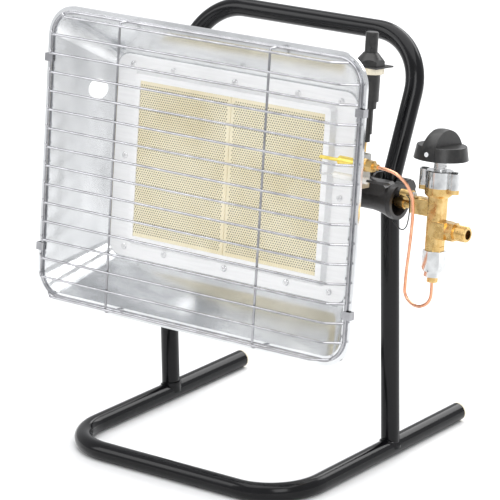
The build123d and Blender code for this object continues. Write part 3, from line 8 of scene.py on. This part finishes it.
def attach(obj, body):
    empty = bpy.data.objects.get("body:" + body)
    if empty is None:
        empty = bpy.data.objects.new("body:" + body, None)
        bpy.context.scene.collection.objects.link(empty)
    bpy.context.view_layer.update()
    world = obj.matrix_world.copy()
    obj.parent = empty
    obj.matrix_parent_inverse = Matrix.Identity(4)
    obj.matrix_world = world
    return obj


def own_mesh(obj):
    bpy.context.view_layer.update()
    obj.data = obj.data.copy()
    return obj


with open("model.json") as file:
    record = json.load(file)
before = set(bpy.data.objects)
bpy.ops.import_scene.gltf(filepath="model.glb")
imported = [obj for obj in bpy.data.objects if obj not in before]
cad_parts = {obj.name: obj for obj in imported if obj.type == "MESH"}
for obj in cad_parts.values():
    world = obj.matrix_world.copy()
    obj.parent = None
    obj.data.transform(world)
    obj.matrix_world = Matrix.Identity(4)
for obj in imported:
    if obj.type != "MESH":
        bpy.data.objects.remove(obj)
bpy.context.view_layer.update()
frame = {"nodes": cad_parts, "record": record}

# The head leans back from the stand: u runs across it, v up its face and n out of its front.
leanDegrees = 7.0
lean = math.radians(leanDegrees)
sinLean, cosLean = math.sin(lean), math.cos(lean)
headCentre = Vector((-0.0347, -0.09775, 0.2965))
faceTurn = (math.radians(90.0 - leanDegrees), 0.0, 0.0)
mm = 0.001
perMetre = 1000.0


def headPoint(u, v, n):
    return headCentre + Vector((u, v * sinLean - n * cosLean, v * cosLean + n * sinLean)) * mm


class Value:
    # A socket that adds Math nodes when it is used in a sum.
    def __init__(self, graph, socket):
        self.graph = graph
        self.socket = socket

    def __add__(self, other):
        return self.graph.maths("ADD", self, other)

    def __radd__(self, other):
        return self.graph.maths("ADD", other, self)

    def __sub__(self, other):
        return self.graph.maths("SUBTRACT", self, other)

    def __rsub__(self, other):
        return self.graph.maths("SUBTRACT", other, self)

    def __mul__(self, other):
        return self.graph.maths("MULTIPLY", self, other)

    def __rmul__(self, other):
        return self.graph.maths("MULTIPLY", other, self)


class Graph:
    def __init__(self, tree):
        self.tree = tree

    def node(self, kind, settings=None, inputs=None, out=0):
        made = self.tree.nodes.new(kind)
        for key, value in (settings or {}).items():
            setattr(made, key, value)
        for key, value in (inputs or {}).items():
            socket = made.inputs[key] if isinstance(key, int) else next(
                s for s in made.inputs if s.enabled and key in (s.name, s.identifier)
            )
            if isinstance(value, Value):
                self.tree.links.new(value.socket, socket)
            else:
                socket.default_value = value
        socket = made.outputs[out] if isinstance(out, int) else next(
            s for s in made.outputs if s.enabled and out in (s.name, s.identifier)
        )
        return Value(self, socket)

    def maths(self, operation, *values):
        kind = "ShaderNodeMath"
        return self.node(kind, {"operation": operation}, dict(enumerate(values)))

    def between(self, value, low, high):
        return self.node(
            "ShaderNodeMapRange", {"interpolation_type": "SMOOTHSTEP"},
            {"Value": value, "From Min": low, "From Max": high},
        )

    def mix(self, factor, a, b):
        return self.node(
            "ShaderNodeMix", {"data_type": "RGBA"},
            {"Factor_Float": factor, "A_Color": a, "B_Color": b}, "Result_Color",
        )


def newMaterial(name):
    made = bpy.data.materials.new(name)
    made.use_nodes = True
    made.node_tree.nodes.clear()
    return made, Graph(made.node_tree)


def rgb(value):
    return (value[0], value[1], value[2], 1.0)


def grain(graph, scale, stretch, detail=4.0):
    place = graph.node("ShaderNodeTexCoord", out="Object")
    spread = graph.node("ShaderNodeMapping", None, {"Vector": place, "Scale": stretch})
    return graph.node("ShaderNodeTexNoise", None, {"Vector": spread, "Scale": scale, "Detail": detail})


coatRough = 0.08
grainDepth = 0.0004


def finish(graph, colour, rough, metal, bump=None, coat=0.0, specular=0.5):
    inputs = {"Base Color": colour, "Roughness": rough, "Metallic": metal, "Coat Weight": coat}
    inputs["Coat Roughness"] = coatRough
    inputs["Specular IOR Level"] = specular
    if bump:
        height, strength, distance = bump
        inputs["Normal"] = graph.node(
            "ShaderNodeBump", None, {"Height": height, "Strength": strength, "Distance": distance}, "Normal"
        )
    shader = graph.node("ShaderNodeBsdfPrincipled", None, inputs, "BSDF")
    output = graph.tree.nodes.new("ShaderNodeOutputMaterial")
    graph.tree.links.new(shader.socket, output.inputs["Surface"])


# One entry per finish: two colours that the grain moves between, and how the surface takes light.
finishes = {
    "black_tube": {"low": (0.002, 0.002, 0.0025), "high": (0.004, 0.004, 0.005), "rough": (0.12, 0.2),
                   "metal": 0.0, "specular": 0.24, "scale": 60.0, "bump": 0.03},
    "cream_plastic": {"low": (0.62, 0.55, 0.4), "high": (0.76, 0.7, 0.56), "rough": (0.4, 0.55),
                      "metal": 0.0, "scale": 90.0, "bump": 0.05},
    "black_plastic": {"low": (0.006, 0.006, 0.006), "high": (0.02, 0.019, 0.018), "rough": (0.22, 0.42),
                      "metal": 0.0, "scale": 240.0, "bump": 0.12},
    "zinc_steel": {"low": (0.42, 0.42, 0.4), "high": (0.62, 0.62, 0.6), "rough": (0.24, 0.42),
                   "metal": 1.0, "scale": 70.0, "bump": 0.05},
    "bright_steel": {"low": (0.9, 0.9, 0.9), "high": (0.97, 0.97, 0.97), "rough": (0.34, 0.46),
                     "metal": 0.7, "scale": 30.0, "stretch": (1.0, 14.0, 14.0), "bump": 0.01},
    "reflector_steel": {"low": (0.62, 0.63, 0.64), "high": (0.86, 0.87, 0.88), "rough": (0.12, 0.24),
                        "metal": 1.0, "scale": 16.0, "stretch": (1.0, 3.0, 1.0), "bump": 0.015},
    "fibre": {"low": (0.6, 0.58, 0.5), "high": (0.85, 0.83, 0.76), "rough": (0.8, 0.95),
              "metal": 0.0, "scale": 400.0, "bump": 0.5},
    "rivet_alloy": {"low": (0.7, 0.7, 0.71), "high": (0.86, 0.86, 0.86), "rough": (0.2, 0.35),
                    "metal": 1.0, "scale": 200.0, "bump": 0.05},
    "chrome_wire": {"low": (0.3, 0.3, 0.31), "high": (0.46, 0.46, 0.48), "rough": (0.1, 0.2),
                    "metal": 1.0, "scale": 80.0, "bump": 0.02},
    "black_casting": {"low": (0.008, 0.007, 0.007), "high": (0.024, 0.021, 0.02), "rough": (0.34, 0.55),
                      "metal": 0.0, "coat": 0.2, "scale": 320.0, "bump": 0.3},
    "black_bracket": {"low": (0.008, 0.007, 0.007), "high": (0.02, 0.018, 0.017), "rough": (0.3, 0.45),
                      "metal": 0.0, "coat": 0.2, "scale": 120.0, "bump": 0.06},
    "brass": {"low": (0.6, 0.38, 0.13), "high": (0.86, 0.62, 0.28), "rough": (0.2, 0.4),
              "metal": 1.0, "scale": 160.0, "bump": 0.12},
    "plated": {"low": (0.6, 0.61, 0.61), "high": (0.85, 0.86, 0.86), "rough": (0.08, 0.24),
               "metal": 1.0, "scale": 120.0, "bump": 0.06},
    "gold_steel": {"low": (0.7, 0.5, 0.08), "high": (0.95, 0.76, 0.2), "rough": (0.2, 0.34),
                   "metal": 1.0, "scale": 140.0, "bump": 0.04},
    "stem_steel": {"low": (0.5, 0.5, 0.5), "high": (0.72, 0.72, 0.72), "rough": (0.2, 0.34),
                   "metal": 1.0, "scale": 60.0, "stretch": (1.0, 1.0, 20.0), "bump": 0.05},
    "spring_steel": {"low": (0.35, 0.35, 0.36), "high": (0.55, 0.55, 0.56), "rough": (0.25, 0.4),
                     "metal": 1.0, "scale": 200.0, "bump": 0.05},
    "white_mark": {"low": (0.62, 0.63, 0.65), "high": (0.8, 0.81, 0.82), "rough": (0.35, 0.5),
                   "metal": 0.0, "scale": 300.0, "bump": 0.05},
    "glazed_white": {"low": (0.74, 0.72, 0.68), "high": (0.88, 0.87, 0.84), "rough": (0.12, 0.24),
                     "metal": 0.0, "coat": 0.6, "scale": 100.0, "bump": 0.03},
    "copper": {"low": (0.68, 0.3, 0.17), "high": (0.92, 0.5, 0.33), "rough": (0.16, 0.34),
               "metal": 1.0, "scale": 90.0, "bump": 0.05},
    "cable_black": {"low": (0.01, 0.01, 0.01), "high": (0.03, 0.028, 0.028), "rough": (0.4, 0.6),
                    "metal": 0.0, "scale": 200.0, "bump": 0.1},
}


def makeFinish(name, s):
    made, graph = newMaterial(name)
    tone = grain(graph, s["scale"], s.get("stretch", (1.0, 1.0, 1.0)))
    fine = grain(graph, s["scale"] * 6.0, s.get("stretch", (1.0, 1.0, 1.0)), 2.0)
    broad = grain(graph, 7.0, (1.0, 1.0, 1.0), 2.0)
    blend = graph.between(tone * 0.7 + broad * 0.3, 0.3, 0.7)
    low, high = s["rough"]
    rough = low + (high - low) * graph.between(broad * 0.6 + tone * 0.4, 0.25, 0.75)
    colour = graph.mix(blend, rgb(s["low"]), rgb(s["high"]))
    finish(graph, colour, rough, s["metal"], (fine, s["bump"], grainDepth),
           s.get("coat", 0.0), s.get("specular", 0.5))
    return made


palette = {name: makeFinish(name, s) for name, s in finishes.items()}
print("finishes", len(palette))

# The plaques: pale ceramic with zigzag rows of fine holes, drawn as dark discs of painted shade, and ribs
# between them painted paler as a painted highlight.
plaque = {
    "width": 120.0, "tall": 165.0, "border": 3.0, "pitchU": 2.88, "pitchV": 2.34, "face": -51.3,
    "jointHalf": 0.2, "endGap": 4.0, "holeRadius": 0.00074, "holeSides": 7, "holeProud": 0.03,
    "pale": (0.86, 0.78, 0.56), "warm": (0.74, 0.64, 0.4), "ribHighlight": (0.95, 0.9, 0.74),
}


def makeCeramic():
    made, graph = newMaterial("ceramic")
    place = graph.node("ShaderNodeTexCoord", out="Object")
    split = graph.tree.nodes.new("ShaderNodeSeparateXYZ")
    graph.tree.links.new(place.socket, split.inputs[0])
    x, y, z = (Value(graph, s) for s in split.outputs)
    u = (x - headCentre.x) * perMetre
    v = (y - headCentre.y) * (perMetre * sinLean) + (z - headCentre.z) * (perMetre * cosLean)
    tau = 2.0 * math.pi
    waveU = graph.maths("COSINE", u * (tau / plaque["pitchU"]))
    waveV = graph.maths("COSINE", v * (tau / (2.0 * plaque["pitchV"])))
    relief = graph.between(waveU * waveV, -0.4, 0.9)
    tone = grain(graph, 90.0, (1.0, 1.0, 1.0))
    broad = grain(graph, 14.0, (1.0, 1.0, 1.0), 2.0)
    body = graph.mix(graph.between(broad, 0.35, 0.65), rgb(plaque["warm"]), rgb(plaque["pale"]))
    # Painted highlight: where the relief rises the colour moves toward the pale rib colour, together with
    # random tone.
    colour = graph.mix(relief * 0.45 + tone * 0.3, body, rgb(plaque["ribHighlight"]))
    rough = 0.82 + 0.12 * tone
    finish(graph, colour, rough, 0.0, (relief + tone * 0.4, 0.5, 0.0006))
    return made


palette["ceramic"] = makeCeramic()


# Painted shade: the dark colour of the hole discs stands for the shade inside the plaque holes, with random
# tone.
def makeHoleShade():
    made, graph = newMaterial("holeShadePainted")
    tone = grain(graph, 300.0, (1.0, 1.0, 1.0), 2.0)
    colour = graph.mix(tone, rgb((0.06, 0.05, 0.02)), rgb((0.17, 0.14, 0.07)))
    finish(graph, colour, 0.85 + 0.1 * tone, 0.0)
    return made


palette["holeShadePainted"] = makeHoleShade()

# Every CAD node takes the finish that its record names, except the nodes listed in repaint, which take the
# finish given there.
repaint = {
    "thermocouple": "gold_steel", "igniter_collar": "black_plastic",
    "igniter_bracket": "black_bracket", "head_bracket": "black_bracket",
}
for part in frame["record"]["subparts"]:
    node = frame["nodes"][part["node"]]
    name = repaint.get(part["node"], part["material_slot"])
    node.data.materials.clear()
    node.data.materials.append(palette[name])
print("nodes painted", len(frame["nodes"]))


class Shape:
    # A Geometry Nodes tree with named inputs, run once on an empty mesh.
    def __init__(self, name, inputs):
        self.name = name
        self.tree = bpy.data.node_groups.new(name, "GeometryNodeTree")
        self.graph = Graph(self.tree)
        self.values = {}
        for key, value in inputs.items():
            kinds = {int: "NodeSocketInt", float: "NodeSocketFloat", tuple: "NodeSocketVector"}
            socket = self.tree.interface.new_socket(key, in_out="INPUT", socket_type=kinds[type(value)])
            self.values[socket.identifier] = value
        self.tree.interface.new_socket("Geometry", in_out="OUTPUT", socket_type="NodeSocketGeometry")
        entry = self.tree.nodes.new("NodeGroupInput")
        self.input = {s.name: Value(self.graph, s) for s in entry.outputs if s.name}

    def vector(self, x, y, z):
        return self.graph.node("ShaderNodeCombineXYZ", None, {"X": x, "Y": y, "Z": z})

    def build(self, geometry, material, body):
        real = self.graph.node("GeometryNodeRealizeInstances", None, {"Geometry": geometry})
        painted = self.graph.node("GeometryNodeSetMaterial", None, {"Geometry": real, "Material": material})
        leave = self.tree.nodes.new("NodeGroupOutput")
        self.tree.links.new(painted.socket, leave.inputs[0])
        piece = bpy.data.objects.new(self.name, bpy.data.meshes.new(self.name))
        bpy.context.scene.collection.objects.link(piece)
        modifier = piece.modifiers.new(self.name, "NODES")
        modifier.node_group = self.tree
        for key, value in self.values.items():
            modifier[key] = value
        graph = bpy.context.evaluated_depsgraph_get()
        mesh = bpy.data.meshes.new_from_object(piece.evaluated_get(graph))
        piece.modifiers.clear()
        piece.data = mesh
        piece.name = self.name
        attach(piece, body)
        print(self.name, "faces", len(mesh.polygons))
        return piece


# Dark discs laid just proud of the plaque face: painted shade where the holes are.
def plaqueHoles(name, side):
    inner = plaque["width"] - 2.0 * plaque["border"]
    columns = int(inner / plaque["pitchU"])
    rows = 2 * int((plaque["tall"] - 2.0 * plaque["border"] - plaque["endGap"]) / plaque["pitchV"] / 2)
    across = side * (plaque["width"] / 2.0 + plaque["jointHalf"]) - plaque["pitchU"] / 4.0
    centre = headPoint(across, 0.0, plaque["face"] + plaque["holeProud"])
    shape = Shape(name, {
        "columns": columns, "rows": rows, "pitchAcross": plaque["pitchU"] * mm,
        "pitchUp": plaque["pitchV"] * mm, "holeRadius": plaque["holeRadius"],
        "place": tuple(centre), "turn": faceTurn,
    })
    g, i = shape.graph, shape.input
    field = g.node("GeometryNodeMeshGrid", None, {
        "Size X": i["pitchAcross"] * (i["columns"] - 1.0), "Size Y": i["pitchUp"] * (i["rows"] - 1.0),
        "Vertices X": i["columns"], "Vertices Y": i["rows"],
    })
    odd = g.maths("MODULO", g.node("GeometryNodeInputIndex"), 2.0)
    moved = g.node("GeometryNodeSetPosition", None, {
        "Geometry": field, "Offset": shape.vector(odd * i["pitchAcross"] * 0.5, 0.0, 0.0),
    })
    disc = g.node("GeometryNodeMeshCircle", {"fill_type": "NGON"}, {
        "Vertices": plaque["holeSides"], "Radius": i["holeRadius"],
    })
    spread = g.node("GeometryNodeInstanceOnPoints", None, {"Points": moved, "Instance": disc})
    placed = g.node("GeometryNodeTransform", None, {
        "Geometry": spread, "Translation": i["place"], "Rotation": i["turn"],
    })
    return shape.build(placed, palette["holeShadePainted"], "head")


plaqueHoles("plaqueHolesLeft", -1)
plaqueHoles("plaqueHolesRight", 1)


thread = {
    "turns": 6.6, "pitch": 0.0014, "radius": 0.00744, "ridge": 0.00042,
    "start": (256.6, -17.4, -85.0), "along": math.radians(90.0), "steps": 40, "ridgeSides": 6,
}


def inletThread():
    shape = Shape("inletThread", {
        "turns": thread["turns"], "pitch": thread["pitch"], "threadRadius": thread["radius"],
        "ridge": thread["ridge"], "place": tuple(headPoint(*thread["start"])),
        "turn": (0.0, thread["along"], 0.0),
    })
    g, i = shape.graph, shape.input
    coil = g.node("GeometryNodeCurveSpiral", None, {
        "Resolution": thread["steps"], "Rotations": i["turns"], "Start Radius": i["threadRadius"],
        "End Radius": i["threadRadius"], "Height": i["turns"] * i["pitch"],
    })
    section = g.node("GeometryNodeCurvePrimitiveCircle", None, {
        "Resolution": thread["ridgeSides"], "Radius": i["ridge"],
    })
    swept = g.node("GeometryNodeCurveToMesh", None, {
        "Curve": coil, "Profile Curve": section, "Fill Caps": True,
    })
    placed = g.node("GeometryNodeTransform", None, {
        "Geometry": swept, "Translation": i["place"], "Rotation": i["turn"],
    })
    return shape.build(placed, palette["brass"], "head")


inletThread()

# The two hidden springs shorten as the stem and the button go down in the real heater; here each only gets
# a mesh of its own.
springs = {
    "stem_spring": {"joint": "valve_push", "foot": (230.5, 23.4, -85.0), "keep": 0.46},
    "igniter_spring": {"joint": "button_push", "foot": (151.0, 112.1, -70.0), "keep": 0.62},
}
for name, s in springs.items():
    foot = tuple(headPoint(*s["foot"]))
    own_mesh(frame["nodes"][name])
print("springs", len(springs))

# Floor and studio: a pale floor, large soft lights above and behind, and one on each side in front.
floorReach = 9
floorMesh = bpy.data.meshes.new("floor")
floorCorners = [(x * floorReach, y * floorReach, 0) for x, y in ((-1, -1), (1, -1), (1, 1), (-1, 1))]
floorMesh.from_pydata(floorCorners, [], [(0, 1, 2, 3)])
floor = bpy.data.objects.new("floor", floorMesh)
bpy.context.scene.collection.objects.link(floor)
floorMaterial, floorGraph = newMaterial("floorPale")
floorTone = grain(floorGraph, 3.0, (1.0, 1.0, 1.0), 2.0)
finish(floorGraph, floorGraph.mix(floorTone, rgb((0.86, 0.86, 0.86)), rgb((0.9, 0.9, 0.9))), 0.55, 0.0)
floorMesh.materials.append(floorMaterial)

lights = {
    "keyLight": {"at": (1.6, -1.3, 1.5), "aim": (0.0, 0.0, 0.25), "size": 0.9, "tall": 1.5, "power": 16.0},
    "leftLight": {"at": (-1.7, -1.7, 1.5), "aim": (0.0, 0.0, 0.2), "size": 0.7, "tall": 1.6, "power": 11.0},
    "topLight": {"at": (-0.1, 0.2, 2.3), "aim": (0.0, 0.0, 0.2), "size": 2.6, "tall": 2.6, "power": 44.0},
    "backLight": {"at": (0.2, 2.4, 1.9), "aim": (0.0, 0.4, 0.2), "size": 2.4, "tall": 1.0, "power": 30.0},
}
for name, s in lights.items():
    data = bpy.data.lights.new(name, "AREA")
    data.shape = "RECTANGLE"
    data.size = s["size"]
    data.size_y = s["tall"]
    data.energy = s["power"]
    lamp = bpy.data.objects.new(name, data)
    lamp.location = s["at"]
    lamp.rotation_euler = (Vector(s["aim"]) - Vector(s["at"])).to_track_quat("-Z", "Y").to_euler()
    bpy.context.scene.collection.objects.link(lamp)

scene = bpy.context.scene
world = bpy.data.worlds.new("studio")
scene.world = world
world.use_nodes = True
world.node_tree.nodes["Background"].inputs["Color"].default_value = (0.97, 0.98, 1.0, 1.0)
world.node_tree.nodes["Background"].inputs["Strength"].default_value = 0.8

# The photograph's own view, from the camera that its tubes and rim were fitted with.
photoView = {
    "sensor": 36.0, "lens": 223.87, "at": (1.80456, -2.38616, 1.15994),
    "right": (0.79338, 0.60856, -0.01433), "up": (-0.17375, 0.24896, 0.9528),
    "back": (0.5834, -0.75344, 0.30326),
}
camData = bpy.data.cameras.new("photoView")
camData.sensor_width = photoView["sensor"]
camData.lens = photoView["lens"]
camera = bpy.data.objects.new("photoView", camData)
turn = Matrix((photoView["right"], photoView["up"], photoView["back"])).transposed()
camera.matrix_world = Matrix.Translation(photoView["at"]) @ turn.to_4x4()
scene.collection.objects.link(camera)
scene.camera = camera

scene.view_settings.view_transform = "Standard"
